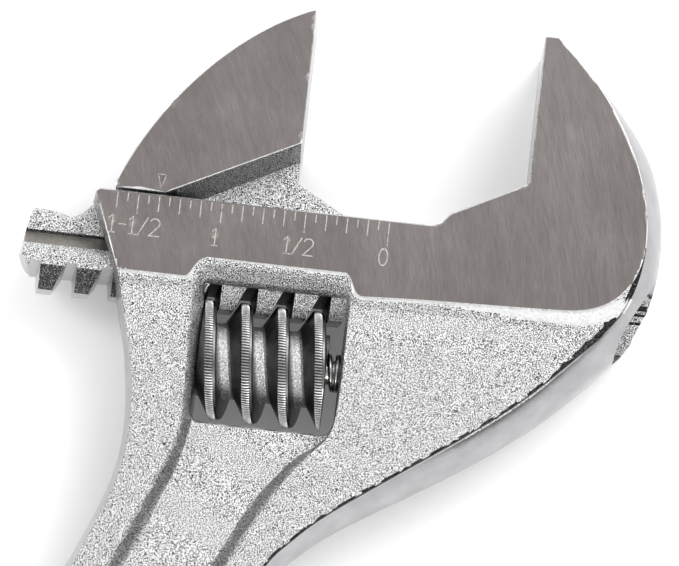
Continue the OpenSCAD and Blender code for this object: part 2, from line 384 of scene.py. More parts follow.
def body_height(p, strokes):
    s = along(p)
    edge = distance(p, BODY)
    hole = distance(p, HANG_HOLE)
    z = forged(s) - 0.35 * (1 - smooth(edge / 5)) * smooth((-18 - s) / 30 + 1)
    on_ground = inside(p, GROUND)
    from_ground = distance(p, GROUND)
    band = highlight_band_width(p)
    beyond = from_ground - band
    drop = np.maximum(HALF - z - BAND_SLOPE * band, 0) + DIP
    z = HALF - BAND_SLOPE * np.minimum(from_ground, band) - drop * smooth(beyond / DIP_WIDTH) \
        + DIP * smooth((beyond - DIP_WIDTH) / 5)
    z[on_ground] = HALF
    # the recess, with a convex lip above the window
    d_top, d_floor = distance(p, RECESS_TOP), distance(p, RECESS_FLOOR)
    f = np.where(inside(p, RECESS_FLOOR), 1, d_top / np.maximum(d_top + d_floor, 1e-9))
    lip = smooth((p[:, 1] + 15) / 2.5)
    f = (1 - lip) * smooth(f) + lip * f**2.6
    wall = inside(p, RECESS_TOP) | (d_top < 1e-4)
    z = np.where(wall, z + (recess_floor(s) - z) * f, z)
    # the edges, which are sharp round the ground face and softer below it
    z -= rounding(edge, 0.16 + 0.55 * smooth((-14 - p[:, 1]) / 8))
    z -= rounding(hole, 0.8)
    z -= rounding(distance(p, WINDOW), 0.3)
    carve(z, p, strokes)
    return z


def body_swell(p):
    """How far the polished sides bulge out at the mid plane."""
    x, y = p[:, 0], p[:, 1]
    s = along(p)
    on_right = (x - AXIS_X) * COS - y * SIN > 0
    right = 2.7 * smooth((31 - y) / 20) * (x > 1.0)
    low = 2.7 + 1.1 * smooth(-y / 12) - 1.9 * smooth((-28 - y) / 26)
    right = np.where(on_right & (y < 0), low, right)
    left = np.where((x < -45) & (y < -0.6), 1.0, 0)
    head = np.where(on_right, right, left)
    out = head + (SIDE_SWELL - head) * smooth((-58 - s) / 17)
    mouth = (y > -0.55) & (x < 0.5)
    opening = (distance(p, WINDOW) < 0.05) | (distance(p, HANG_HOLE) < 0.05)
    return np.where(mouth | opening, 0, out)


def body_under(p):
    """The side below the mid plane is full where the rail's bore comes out."""
    return CROWN + 6 * smooth((p[:, 0] + 2) / 8) * smooth((6 - p[:, 1]) / 5) * smooth((p[:, 1] + 30) / 8)


# ---------------------------------------------------------------- meshes

def grid(loop, spacing, wanted):
    """Staggered points inside a loop, where wanted(points) is true."""
    lo, hi = loop.min(0), loop.max(0)
    xs = np.arange(lo[0], hi[0], spacing)
    ys = np.arange(lo[1], hi[1], spacing * 0.866)
    p = np.array([(x + (spacing / 2 if j % 2 else 0), y) for j, y in enumerate(ys) for x in xs])
    p = p[inside(p, loop)]
    return p[wanted(p)]


def triangulate(outer, holes, paths, fill):
    """Triangles of the region between outer and holes, with the paths as edges.
    paths is a list of (points, closed)."""
    points, edges = [], []

    def add(p, closed):
        first = len(points)
        points.extend(Vector(q) for q in p)
        n = len(p)
        edges.extend((first + i, first + (i + 1) % n) for i in range(n if closed else n - 1))

    add(outer, True)
    for hole in holes:
        add(hole, True)
    for path, closed in paths:
        add(path, closed)
    solid = np.array([q[:] for q in points])
    keep = np.ones(len(fill), bool)
    for i in range(0, len(fill), 2000):
        d = np.linalg.norm(fill[i:i + 2000, None] - solid[None], axis=2).min(1)
        keep[i:i + 2000] = d > 0.28
    points.extend(Vector(q) for q in fill[keep])
    verts, _, faces, *_ = delaunay_2d_cdt(points, edges, [], 0, 1e-5)
    v = np.array([q[:] for q in verts])
    f = np.array([q[:] for q in faces])
    centre = v[f].mean(1)
    ok = inside(centre, outer)
    for hole in holes:
        ok &= ~inside(centre, hole)
    f = f[ok]
    e1, e2 = v[f[:, 1]] - v[f[:, 0]], v[f[:, 2]] - v[f[:, 0]]
    turn = e1[:, 0] * e2[:, 1] - e1[:, 1] * e2[:, 0]
    f = f[np.abs(turn) > 1e-9]
    turn = turn[np.abs(turn) > 1e-9]
    f[turn < 0] = f[turn < 0][:, ::-1]
    return v, f


def rims(faces):
    """Ordered loops of the edges that only one triangle uses, in the triangles' own direction."""
    seen = {}
    for a, b, c in faces:
        for e in ((a, b), (b, c), (c, a)):
            seen[e] = True
    follow = {a: b for a, b in seen if (b, a) not in seen}
    loops = []
    while follow:
        start, here = next(iter(follow.items()))
        del follow[start]
        loop = [start]
        while here != start:
            loop.append(here)
            here = follow.pop(here)
        loops.append(loop)
    return loops


CROWN = 2.2
LEVELS = 12


def plate(name, v, f, top, bottom, swell, under=CROWN):
    """A closed solid between two height fields over the same triangles, with crowned sides. under is the
    power of the crown below the mid plane: a high one keeps the side full."""
    under = np.broadcast_to(under, len(v))
    n = len(v)
    verts = [(x, y, z) for (x, y), z in zip(v, top)] + [(x, y, z) for (x, y), z in zip(v, bottom)]
    faces = [tuple(t) for t in f] + [(c + n, b + n, a + n) for a, b, c in f]
    for loop in rims(f):
        p = v[loop]
        bulge = normals(p) * swell[loop][:, None]
        rows = [loop]
        for k in range(1, LEVELS):
            u = math.cos(math.pi * k / LEVELS)
            rows.append(list(range(len(verts), len(verts) + len(loop))))
            middle, half = (top[loop] + bottom[loop]) / 2, (top[loop] - bottom[loop]) / 2
            share = 1 - u ** CROWN if u > 0 else (1 - abs(u) ** under[loop])[:, None]
            out = p + bulge * share
            verts += [(x, y, z) for (x, y), z in zip(out, middle + half * u)]
        rows.append([i + n for i in loop])
        m = len(loop)
        for upper, lower in zip(rows[:-1], rows[1:]):
            faces += [(upper[i], lower[i], lower[(i + 1) % m], upper[(i + 1) % m]) for i in range(m)]
    me = bpy.data.meshes.new(name)
    me.from_pydata(verts, [], faces)
    bm = bmesh.new()
    bm.from_mesh(me)
    bmesh.ops.delete(bm, geom=[q for q in bm.verts if not q.link_faces], context="VERTS")
    bm.to_mesh(me)
    bm.free()
    return me


def thing(name, me):
    o = bpy.data.objects.new(name, me)
    bpy.context.scene.collection.objects.link(o)
    return o


def boolean(o, tool, operation="DIFFERENCE"):
    mod = o.modifiers.new("cut", "BOOLEAN")
    mod.object, mod.operation, mod.solver = tool, operation, "EXACT"
    bpy.context.view_layer.update()
    me = bpy.data.meshes.new_from_object(o.evaluated_get(bpy.context.evaluated_depsgraph_get()))
    o.modifiers.clear()
    old, o.data = o.data, me
    bpy.data.meshes.remove(old)
    bpy.data.objects.remove(tool)


def loft(name, rings):
    """A closed tube through rings of points."""
    m = len(rings[0])
    verts = [tuple(p) for ring in rings for p in ring]
    faces = []
    for low in range(0, (len(rings) - 1) * m, m):
        high = low + m
        faces += [(low + i, high + i, high + (i + 1) % m, low + (i + 1) % m) for i in range(m)]
    faces += [tuple(range(m)), tuple(reversed(range((len(rings) - 1) * m, len(rings) * m)))]
    me = bpy.data.meshes.new(name)
    me.from_pydata(verts, [], faces)
    bm = bmesh.new()
    bm.from_mesh(me)
    bmesh.ops.recalc_face_normals(bm, faces=bm.faces)
    bm.to_mesh(me)
    bm.free()
    return me


def turned(name, profile, y, sides):
    """A lathe shape round an axis along +x at height y: profile is a list of (x, radius)."""
    a = np.arange(sides) * 2 * math.pi / sides
    return loft(name, [[(x, y + r * math.cos(q), r * math.sin(q)) for q in a] for x, r in profile])


def prism(name, outline, z0, z1):
    return loft(name, [[(x, y, z) for x, y in outline] for z in (z0, z1)])


def finish_mesh(o, sharp=38):
    me = o.data
    me.transform(HEAD)
    me.polygons.foreach_set("use_smooth", [True] * len(me.polygons))
    me.set_sharp_from_angle(angle=math.radians(sharp))
    mod = o.modifiers.new("normals", "WEIGHTED_NORMAL")
    mod.keep_sharp = True
    me.update()


def paint(o, materials, choose):
    """Gives each face the material that choose(centre, normal) names, in head-frame millimetres."""
    names = list(materials)
    o.data.materials.clear()
    for m in materials.values():
        o.data.materials.append(m)
    count = len(o.data.polygons)
    centre, normal = np.zeros(count * 3), np.zeros(count * 3)
    o.data.polygons.foreach_get("center", centre)
    o.data.polygons.foreach_get("normal", normal)
    picked = choose(centre.reshape(-1, 3), normal.reshape(-1, 3))
    o.data.polygons.foreach_set("material_index", [names.index(n) for n in picked])


# ---------------------------------------------------------------- materials

def material(name, build):
    m = bpy.data.materials.new(name)
    m.use_nodes = True
    nodes, links = m.node_tree.nodes, m.node_tree.links
    shader = next(n for n in nodes if n.type == "BSDF_PRINCIPLED")
    build(Graph(nodes, links, shader))
    return m


class Graph:
    """Short names for the nodes that the materials use."""

    def __init__(self, nodes, links, shader):
        self.nodes, self.links, self.shader = nodes, links, shader
        self.place = self.add("ShaderNodeTexCoord").outputs["Object"]

    def add(self, kind, **settings):
        node = self.nodes.new(kind)
        for key, value in settings.items():
            setattr(node, key, value)
        return node

    def put(self, socket, value):
        if isinstance(value, bpy.types.NodeSocket):
            self.links.new(value, socket)
        else:
            socket.default_value = value

    def noise(self, scale, detail, roughness, where=None):
        n = self.add("ShaderNodeTexNoise")
        self.put(n.inputs["Vector"], where or self.place)
        for key, value in (("Scale", scale), ("Detail", detail), ("Roughness", roughness)):
            n.inputs[key].default_value = value
        return n.outputs["Fac"]

    def remap(self, value, low, high, to_low, to_high):
        n = self.add("ShaderNodeMapRange")
        self.put(n.inputs["Value"], value)
        for key, v in (("From Min", low), ("From Max", high), ("To Min", to_low), ("To Max", to_high)):
            n.inputs[key].default_value = v
        return n.outputs["Result"]

    def ramp(self, value, stops):
        """stops is a list of (place, colour), where a colour is three numbers or one grey."""
        n = self.add("ShaderNodeValToRGB")
        self.put(n.inputs["Fac"], value)
        ramp = n.color_ramp
        while len(ramp.elements) < len(stops):
            ramp.elements.new(0.5)
        for element, (place, colour) in zip(ramp.elements, stops):
            element.position = place
            element.color = (*np.broadcast_to(colour, 3), 1)
        return n.outputs["Color"]

    def maths(self, operation, a, b=0.0):
        n = self.add("ShaderNodeMath", operation=operation)
        self.put(n.inputs[0], a)
        self.put(n.inputs[1], b)
        return n.outputs[0]

    def mix(self, factor, a, b):
        n = self.add("ShaderNodeMix", data_type="RGBA")
        self.put(n.inputs["Factor"], factor)
        self.put(n.inputs["A"], a)
        self.put(n.inputs["B"], b)
        return n.outputs["Result"]

    def bump(self, height, depth, strength=1.0, after=None):
        n = self.add("ShaderNodeBump")
        n.inputs["Distance"].default_value = depth
        n.inputs["Strength"].default_value = strength
        self.put(n.inputs["Height"], height)
        if after is not None:
            self.put(n.inputs["Normal"], after)
        return n.outputs["Normal"]

    def polar(self, centre, turns, depth):
        """Coordinates that are stretched along circles round centre, for ground scratches."""
        offset = self.add("ShaderNodeVectorMath", operation="SUBTRACT")
        self.put(offset.inputs[0], self.place)
        offset.inputs[1].default_value = centre
        split = self.add("ShaderNodeSeparateXYZ")
        self.put(split.inputs[0], offset.outputs[0])
        x, y = split.outputs["X"], split.outputs["Y"]
        squares = self.maths("ADD", self.maths("MULTIPLY", x, x), self.maths("MULTIPLY", y, y))
        radius = self.maths("SQRT", squares)
        angle = self.maths("ARCTAN2", y, x)
        join = self.add("ShaderNodeCombineXYZ")
        self.put(join.inputs["X"], self.maths("MULTIPLY", radius, depth))
        self.put(join.inputs["Y"], self.maths("MULTIPLY", angle, turns))
        self.put(join.inputs["Z"], self.maths("MULTIPLY", split.outputs["Z"], 20.0))
        return join.outputs[0]

    def out(self, colour=None, roughness=None, normal=None, metallic=1.0):
        self.shader.inputs["Metallic"].default_value = metallic
        for key, value in (("Base Color", colour), ("Roughness", roughness), ("Normal", normal)):
            if value is not None:
                self.put(self.shader.inputs[key], value)


def row(x, y, z=0.0):
    return tuple(HEAD @ Vector((x, y, z)))


def ground_steel(g):
    """Flat ground steel: fine scratches along wide arcs, with a few deeper ones and bright flecks."""
    wheel = row(-170, -40)
    fine = g.noise(1.0, 5, 0.75, g.polar(wheel, 60.0, 7000.0))
    broad = g.noise(1.0, 2, 0.5, g.polar(wheel, 9.0, 700.0))
    cloud = g.noise(70, 2, 0.5)
    fleck = g.noise(5200, 1, 0.5)
    tone = g.maths("ADD", g.remap(fine, 0.3, 0.7, -0.09, 0.09), g.remap(broad, 0.35, 0.65, -0.03, 0.03))
    tone = g.maths("ADD", tone, g.remap(cloud, 0.3, 0.7, 0.42, 0.58))
    tone = g.maths("ADD", tone, g.remap(fleck, 0.68, 0.76, 0.0, 0.12))
    colour = g.ramp(tone, [(0.3, (0.185, 0.168, 0.161)), (0.5, (0.248, 0.227, 0.219)),
                           (0.75, (0.36, 0.335, 0.322))])
    g.out(colour, g.remap(fine, 0.25, 0.75, 0.30, 0.42), g.bump(fine, 0.000014, 0.6))


def forged_chrome(g):
    """Satin chrome over an as-forged surface: a fine sparkling grain."""
    grain = g.noise(4600, 2, 0.6)
    lumps = g.noise(900, 2, 0.5)
    speck = g.noise(6600, 2, 0.5)
    colour = g.ramp(speck, [(0.42, 0.01), (0.48, 0.54), (0.525, 1.0)])
    normal = g.bump(grain, 0.00028, 1.0, g.bump(lumps, 0.00012, 0.6))
    g.out(colour, g.remap(speck, 0.3, 0.7, 0.48, 0.30), normal)


def polished_chrome(g):
    """Polished sides: smooth, with faint grinding ripples."""
    ripple = g.noise(260, 2, 0.5)
    fine = g.noise(2600, 3, 0.6)
    colour = g.ramp(ripple, [(0.3, (0.34, 0.34, 0.35)), (0.7, (0.42, 0.42, 0.43))])
    roughness = g.remap(fine, 0.3, 0.7, 0.16, 0.26)
    g.out(colour, roughness, g.bump(ripple, 0.00006, 0.5, g.bump(fine, 0.000008, 0.4)))


def rough_bore(g):
    """Unfinished inside of the bore."""
    grit = g.noise(2600, 4, 0.7)
    patch = g.noise(330, 2, 0.5)
    grit = g.maths("ADD", g.maths("MULTIPLY", grit, 0.5), g.maths("MULTIPLY", patch, 0.5))
    colour = g.ramp(grit, [(0.44, 0.03), (0.49, 0.25), (0.53, 0.95)])
    g.out(colour, g.remap(grit, 0.3, 0.7, 0.6, 0.4), g.bump(grit, 0.00035, 1.0))


def grained(noise, stops, gloss, relief):
    """A metal whose colour, gloss and relief all follow one noise."""
    def build(g):
        grain = g.noise(*noise)
        g.out(g.ramp(grain, stops), g.remap(grain, 0.3, 0.7, *gloss), g.bump(grain, *relief))
    return build


def worm_flank_painted_shade(g):
    """Flanks, ends and bore of the screw, and the knurl's valleys and rims: painted shade, a darker colour
    than the crest for the shade among the threads and ribs.
    """
    grain = g.noise(2400, 3, 0.6)
    patch = g.noise(500, 2, 0.5)
    g.out(g.ramp(patch, [(0.3, 0.10), (0.7, 0.20)]),
          g.remap(grain, 0.3, 0.7, 0.3, 0.46), g.bump(grain, 0.00005, 0.7))


GROUND_STEEL = material("ground_steel", ground_steel)
FORGED = material("forged_chrome", forged_chrome)
POLISHED = material("polished_chrome", polished_chrome)
# Machined flanks and walls: mid grey with soft cutter marks
MACHINED = material("machined_steel", grained(
    (1500, 3, 0.6), [(0.3, 0.42), (0.7, 0.60)], (0.24, 0.4), (0.00002, 0.5)))
# Bright bottoms of the engraved lines
ENGRAVED = material("engraved_lines", grained(
    (3500, 2, 0.6), [(0.3, (0.36, 0.34, 0.33)), (0.7, (0.62, 0.60, 0.58))], (0.45, 0.6), (0.00003, 0.6)))
BORE = material("rough_bore", rough_bore)
# Rougher forged skin on the fronts of the rack's teeth, with painted shade: its darker colour stands in for
# the shadow on these down-facing fronts
TOOTH_FRONT_PAINTED_SHADE = material("tooth_front_painted_shade", grained(
    (4600, 3, 0.6), [(0.45, 0.03), (0.57, 0.14), (0.68, 0.6)], (0.5, 0.3), (0.0002, 1.0)))
# Forged skin with painted shade: a darker copy of the forged chrome for the sloping walls and dark side
# bands that sit in shade
FORGED_PAINTED_SHADE = material("forged_painted_shade", grained(
    (5200, 2, 0.6), [(0.42, 0.05), (0.50, 0.30), (0.60, 0.66)], (0.5, 0.3), (0.0002, 1.0)))
# Drawn groove along the rail: smooth, with painted shade, a darker colour for the shadow in the groove
GROOVE_PAINTED_SHADE = material("rail_groove_painted_shade", grained(
    (1500, 4, 0.7), [(0.3, (0.22, 0.21, 0.19)), (0.7, (0.36, 0.34, 0.31))], (0.3, 0.42), (0.00006, 0.6)))
# Painted highlight on the edge lines of the ground faces, round the window and on the chamfer band below the
# ground face, which is a real slope
EDGE_PAINTED_HIGHLIGHT = material("edge_painted_highlight", grained(
    (2600, 3, 0.6), [(0.3, 0.80), (0.7, 0.95)], (0.25, 0.4), (0.00003, 0.6)))
# Dark line where the forged face meets the polished side, and the dark flanks deep in the rack
SHADE = material("shaded_edge", grained(
    (4200, 3, 0.6), [(0.5, 0.015), (0.72, 0.16)], (0.5, 0.3), (0.00015, 1.0)))
# Knurled band on the thread's crest
WORM_CREST = material("worm_crest", grained(
    (2400, 3, 0.6), [(0.3, 0.55), (0.7, 0.8)], (0.26, 0.4), (0.00004, 0.7)))
# Satin bottom of the thread
WORM_ROOT = material("worm_root", grained(
    (4600, 3, 0.6), [(0.38, 0.28), (0.6, 0.85)], (0.5, 0.36), (0.00014, 0.9)))
WORM_FLANK_PAINTED_SHADE = material("worm_flank_painted_shade", worm_flank_painted_shade)
# The pin and the spring
WIRE = material("bright_wire", grained(
    (2500, 2, 0.5), [(0.3, (0.6, 0.6, 0.58)), (0.7, (0.78, 0.78, 0.76))], (0.15, 0.28), (0.00001, 0.5)))

# ---------------------------------------------------------------- the body forging


def near_head(p):
    return along(p) > -72


def body_forging():
    strokes = scale_strokes()
    outer = resample(BODY, 0.9)
    window = resample(WINDOW, 0.6)
    # the ground face's edge across the head
    lower = resample(GROUND[len(MOUTH) - 1:-len(JAW_BACK)], 0.7, closed=False)
    outlines = [(resample(thicken(path, w), 0.8), True) for path, w in strokes]
    creases = [(lower, False), (resample(RECESS_TOP, 0.9), True), (resample(RECESS_FLOOR, 0.9), True)]
    outer_n = normals(outer)
    for inset in (0.18, 0.45, 0.8):
        creases.append((outer - outer_n * inset, True))
    creases.append((window + normals(window) * 0.25, True))
    lower_n = normals(np.vstack([lower, lower[::-1][1:-1]]))[1:len(lower) - 1]
    for out in (-EDGE, 0.4):
        path = lower[1:-1] + lower_n * out
        creases.append((path[distance(path, BODY) > 1.1], False))
    hole_n = normals(HANG_HOLE)
    for inset in (0.15, 0.4, 0.8):
        creases.append((HANG_HOLE + hole_n * inset, True))
    fill = np.vstack([
        grid(BODY, 0.62, near_head),
        grid(BODY, 1.5, lambda p: ~near_head(p))])
    v, f = triangulate(outer, [window, HANG_HOLE], outlines + creases, fill)
    top = body_height(v, strokes)
    bottom = -body_height(v, [])
    o = thing("body_forging", plate("body_forging", v, f, top, bottom, body_swell(v), body_under(v)))
    boolean(o, thing("pin_tool", turned("pin_tool", [
        (-70, 8), (-61.4, 6.4), (-58.2, 3.1), (-50.4, 3.1), (-50.4, 2.06), (-19, 2.06)], WORM_Y, 48)))
    boolean(o, channel_tool())
    return o, strokes


def channel_tool():
    """Bore for the rail with a countersunk mouth, and the slot above it for the web."""
    bore = thing("bore_tool", turned("bore_tool", [
        (-90, BORE_R), (12.5, BORE_R), (20.5, BORE_R + 0.25), (24, BORE_R + 1.0), (40, BORE_R + 1.0)],
        RAIL_Y, 96))
    slot = thing("slot_tool", prism("slot_tool", [
        (-80, RAIL_Y), (11, RAIL_Y), (11, 0.3), (0.15, 5.75), (0.15, 8.8), (-1, 8.8), (-1, 12), (-80, 12)],
        -SLOT_HALF, SLOT_HALF))
    boolean(bore, slot, "UNION")
    return bore


def choose_body(strokes):
    def choose(c, n):
        p = c[:, :2]
        up = np.abs(n[:, 2])
        kind = np.full(len(c), "forged", dtype=object)
        side = up < 0.72
        kind[side] = "polished"
        from_edge = distance(p, BODY)
        wave = 0.10 * np.sin(c[:, 0] * 1.9) + 0.07 * np.sin(c[:, 1] * 3.7 + 1)
        right = (c[:, 0] > -36) & (along(p) > -80) & (c[:, 1] < 0)
        wedge = 0.5 * smooth((c[:, 0] - 6) / 5)
        rim = inside(p, BODY) & (from_edge < 0.36 + wedge + wave)
        kind[right & rim & (np.abs(c[:, 2]) > 5.5)] = "shade"
        # painted shade on the polished side at the head's left end
        kind[side & (c[:, 0] < -57) & (c[:, 1] < -0.6) & (c[:, 1] > -16)] = "wall"
        # the chamfer band below the ground face: a real slope with a painted highlight
        band = (c[:, 1] < -8) & (c[:, 0] > -60) & (up > 0.6) & ~inside(p, GROUND)
        band &= distance(p, GROUND) < highlight_band_width(p)
        kind[band & (np.abs(c[:, 2]) > HALF - 1)] = "bright"
        flat = (np.abs(c[:, 2]) > HALF - 0.3) & (up > 0.6) & inside(p, GROUND)
        kind[flat] = "ground"
        # painted highlight along the ground face's edge
        kind[flat & (distance(p, GROUND) < EDGE)] = "bright"
        kind[marked(c, flat, strokes)] = "engraved"
        recess = inside(p, RECESS_TOP) & (np.abs(c[:, 2]) > 3.5)
        kind[recess & ~flat] = "forged"
        d_top, d_floor = distance(p, RECESS_TOP), distance(p, RECESS_FLOOR)
        slope = recess & ~flat & ~inside(p, RECESS_FLOOR)
        # painted shade on the recess wall's lower part and on the lower side of the lip above the window
        low = (c[:, 1] < -33) & (d_top > 0.25 * (d_top + d_floor))
        kind[slope & low] = "wall"
        kind[slope & (c[:, 1] > -12.9) & (d_floor < 0.3 * (d_top + d_floor))] = "wall"
        # painted highlight round the window's edge
        kind[recess & (distance(p, WINDOW) < 0.22) & (up > 0.5)] = "bright"
        kind[(distance(p, WINDOW) < 0.12) & (up < 0.3)] = "machined"
        r = np.hypot(c[:, 1] - RAIL_Y, c[:, 2])
        axial = np.abs(n[:, 0]) < 0.3
        kind[(r < BORE_R + 0.05) & axial & (np.abs(c[:, 2]) < BORE_R)] = "bore"
        kind[(np.abs(np.abs(c[:, 2]) - SLOT_HALF) < 0.02) & (up > 0.9)] = "machined"
        kind[(distance(p, MOUTH, closed=False) < 0.1) & (up < 0.5)] = "machined"
        return kind
    return choose


body, body_strokes = body_forging()
paint(body, {"ground": GROUND_STEEL, "forged": FORGED, "polished": POLISHED, "machined": MACHINED,
             "engraved": ENGRAVED, "bore": BORE, "bright": EDGE_PAINTED_HIGHLIGHT, "shade": SHADE,
             "wall": FORGED_PAINTED_SHADE}, choose_body(body_strokes))
finish_mesh(body)
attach(body, "handle")
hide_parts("body")

# ---------------------------------------------------------------- the movable jaw

JAW_X = -OPENING
HEEL_Y = 0.45
PLATE = np.vstack([
    line((JAW_X, 10.2), (JAW_X, JAW_H - 0.2), (JAW_X - 0.2, JAW_H), (JAW_X - 1.3, JAW_H - 0.3)),
    bez((JAW_X - 1.3, JAW_H - 0.3), (-47.6, 25.4), (-57.6, 13.6), (-62.2, 1.0), 30),
    line((-62.2, 1.0), (-62.1, HEEL_Y), (-54.4, HEEL_Y))])
# Where the sloping step under the plate meets the web
STEP_FOOT = line((-48.9, 0.25), (JAW_X, 7.7))
STEP_HEAD = line((-54.4, HEEL_Y), (JAW_X, 10.2))
STEP_SHARE = 0.86
JAW = np.vstack([
    PLATE[:-1],
    spline([(-62.3, 0.2), (-63.4, -1.1), (-65.4, -1.7), (-66.6, -2.9), (-68.4, -4.0), (-70.6, -3.5),
            (-72.4, -3.25), (-77.0, -3.3)], 4),
    line((-77.0, -6.9), (-24.6, -6.9), (-24.6, -1.1), (-26.2, 0.25), (JAW_X, 5.0))])
RAIL_LEFT = -76.0
RAIL_RIGHT = -20.5
ROOT_Y = RAIL_Y - RAIL_R + 4.2
TIP_FLAT = -15.6
TIP_HALF = 3.2

# Half of the rail's section, from the top of its back round the front to its underside: (y, z)
RAIL_HALF = np.vstack([
    line((-6.2, 0.0)),
    spline([(-6.2, 3.25), (-6.7, 3.1), (-7.2, 3.3), (-8.2, 4.5), (-9.2, 5.6), (-10.1, 6.15), (-11.2, 6.3),
            (-12.5, 5.9), (-13.9, 5.0), (-15.0, 4.0), (TIP_FLAT, TIP_HALF)], 3),
    line((TIP_FLAT, 0.0))])


def height_on(segment, x):
    """y of the straight line through a segment's ends, at x."""
    (x0, y0), (x1, y1) = segment
    return y0 + (y1 - y0) / (x1 - x0) * (x - x0)


def jaw_height(p):
    x, y = p[:, 0], p[:, 1]
    head, foot = height_on(STEP_HEAD, x), height_on(STEP_FOOT, x)
    # how far down the step: it is at the web's level before its foot, so that it clears the fixed jaw
    f = (head - y) / np.maximum(head - foot, 0.05) / STEP_SHARE
    # under the heel the wall drops straight to the web
    heel = (x < STEP_HEAD[0, 0]) | (y < HEEL_Y - 0.02)
    f = np.where(heel & (x < -53.2), (HEEL_Y - y) / 0.06, f)
    f = np.where(y < 0.35, 1, f)
    web = WEB_HALF - 0.35 * rounding(np.minimum(distance(p, JAW), 3), 1.2)
    f = np.clip(f, 0, 1)
    z = HALF + (web - HALF) * (0.25 * f + 0.75 * smooth(f))
    return z - np.where(f <= 0, rounding(distance(p, PLATE, closed=False), 0.17), 0)


def jaw_swell(p):
    back = distance(p, PLATE[4:-2], closed=False) < 0.05
    return 0.35 * back * smooth((29 - p[:, 1]) / 10) * smooth((p[:, 1] - 1.2) / 3)


def pointer_strokes():
    x, y = JAW_X - POINTER_BACK, HEEL_Y + 0.55
    tip, left, right = (x, y), (x - 0.62, y + 2.1), (x + 0.62, y + 2.1)
    return [(line(left, tip, right), 0.14), (line(left, right), 0.14)]


def tooth_gap(x):
    """The space that the worm's crest at x sweeps through, slanted to follow the thread."""
    def half(y, s):
        return CREST_W / 2 + MESH_GAP + (WORM_R - (y - WORM_Y)) * s
    low = RAIL_Y - RAIL_R - 1
    lean = PITCH / (math.pi * (WORM_R + WORM_ROOT_R))
    rise = 0.1
    outline = [(-half(ROOT_Y, SLANT), ROOT_Y), (-half(low, SLANT), low), (half(low, STEEP), low),
               (half(ROOT_Y, STEEP), ROOT_Y)]
    return loft("gap", [[(x + px + lean * z, y + (rise * z if y > low else 0), z) for px, y in outline]
                        for z in (-8, 8)])


def jaw_rail():
    half = RAIL_HALF
    section = np.vstack([half, (half * (1, -1))[::-1][1:-1]])
    stations = np.linspace(RAIL_LEFT - 2, RAIL_RIGHT, 58)
    rail = thing("rail", loft("rail", [[(x, y, z) for y, z in section] for x in stations]))
    stub_end = CREST_X - 6 * PITCH
    boolean(rail, thing("stub", loft("stub", [
        [(RAIL_LEFT - 3, y + 4.4, z), (RAIL_LEFT - 3, y - 9, z), (stub_end, y - 9, z), (stub_end, y, z),
         (RAIL_LEFT + 1.4, y, z)] for y, z in ((ROOT_Y - 0.8, -8), (ROOT_Y + 0.8, 8))])))
    for k in range(-6, 4):
        boolean(rail, thing("gap", tooth_gap(CREST_X + k * PITCH)))
    return rail


def rail_end_tool():
    """Trims the rail's outer end to a slanted face with rounded edges."""
    def ring(z):
        back = 0.09 * max(abs(z) - 2.4, 0) ** 1.6
        top, low = RAIL_LEFT + 1.1 + back, RAIL_LEFT - 0.35 + back
        outline = [(RAIL_LEFT - 9, 3), (RAIL_LEFT - 9, -19), (low, -19), (low, -13.5), (top, -4.4),
                   (top + 0.35, -3.6), (top + 1.6, -2.4), (top + 1.6, 3)]
        return [(x, y, z) for x, y in outline]
    return thing("rail_end", loft("rail_end", [ring(z) for z in np.linspace(-8, 8, 25)]))


def jaw_forging():
    strokes = pointer_strokes()
    outer = resample(JAW, 0.7)
    creases = [
        resample(STEP_HEAD, 0.7, False),
        resample(STEP_FOOT, 0.7, False),
        line((-62.0, HEEL_Y), (-54.4, HEEL_Y)),
        line((-62.2, HEEL_Y - 0.07), (-54, HEEL_Y - 0.07)),
        resample(line((-54.2, 0.3), (-49.2, 0.3)), 0.5, False),
        resample(line((JAW_X, 5.6), (-26.2, 0.9)), 0.7, False)]
    for share in (0.2, 0.4, 0.6, 0.8):
        creases.append(resample(STEP_HEAD + (STEP_FOOT - STEP_HEAD) * share, 0.7, False))
    creases.append(resample((PLATE - normals(PLATE) * 0.18)[:-1], 0.7, False))
    creases.append(resample(STEP_HEAD + (-0.06, 0.15), 0.7, False)[1:-1])
    outlines = [(resample(thicken(path, w), 0.5), True) for path, w in strokes]
    paths = outlines + [(path, False) for path in creases]
    v, f = triangulate(outer, [], paths, grid(JAW, 0.75, lambda p: p[:, 1] > -9))
    top = jaw_height(v)
    bottom = -top
    carve(top, v, strokes)
    o = thing("jaw_forging", plate("jaw_forging", v, f, top, bottom, jaw_swell(v)))
    boolean(o, jaw_rail(), "UNION")
    boolean(o, rail_end_tool())
    return o, strokes


